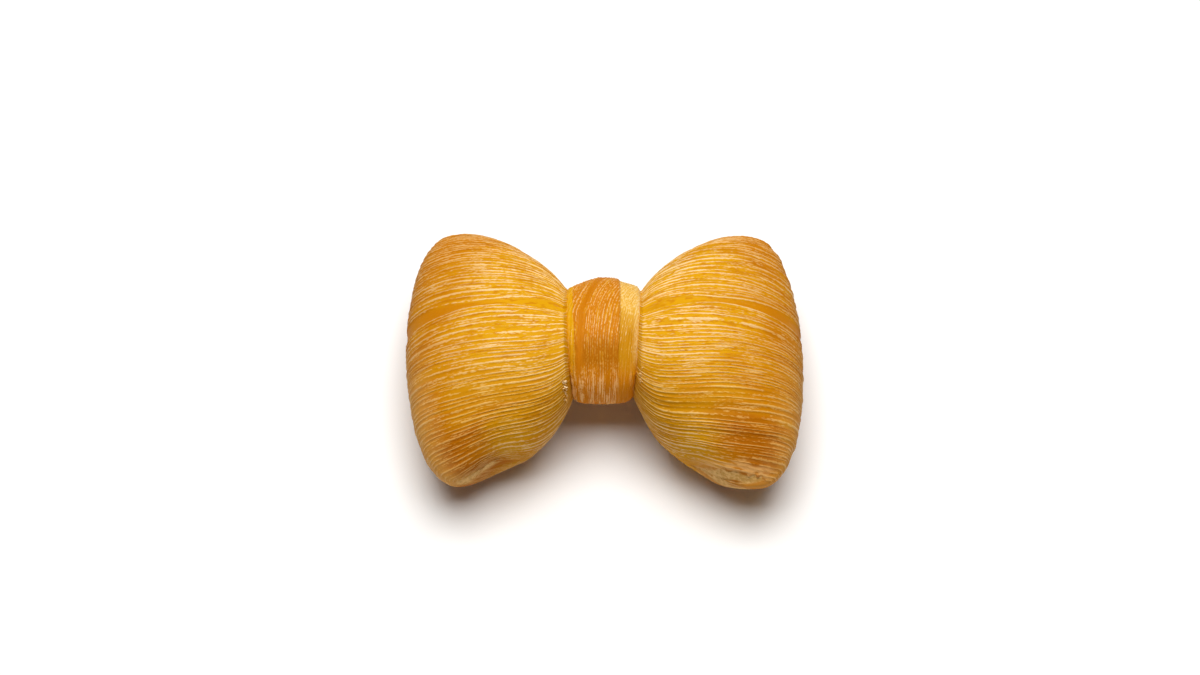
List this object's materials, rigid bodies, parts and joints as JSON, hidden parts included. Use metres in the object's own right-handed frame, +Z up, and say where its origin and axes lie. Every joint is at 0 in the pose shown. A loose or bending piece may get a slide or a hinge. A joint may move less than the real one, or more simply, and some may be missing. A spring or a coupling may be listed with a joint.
{
  "type": "bow tie croissant",
  "caption": "Baked pastry shaped like a bow tie: a bow of laminated dough with two puffed, folded lobes, and a dough band wrapped round its pinched waist.",
  "frame": {"origin": "centre of the bottom of the bounding box, on the surface that the pastry rests on", "axes": "+X along the bow from one folded end to the other, +Y to the far side, +Z up"},
  "size_m": [0.1272, 0.092, 0.0454],
  "materials": {
    "bow_dough": "baked laminated dough, matt with a slight butter sheen",
    "band_dough": "baked dough, browner on top, with a slight butter sheen"
  },
  "bodies": {
    "root": {"bow": "bow_dough", "band": "band_dough"}
  },
  "joints": []
}
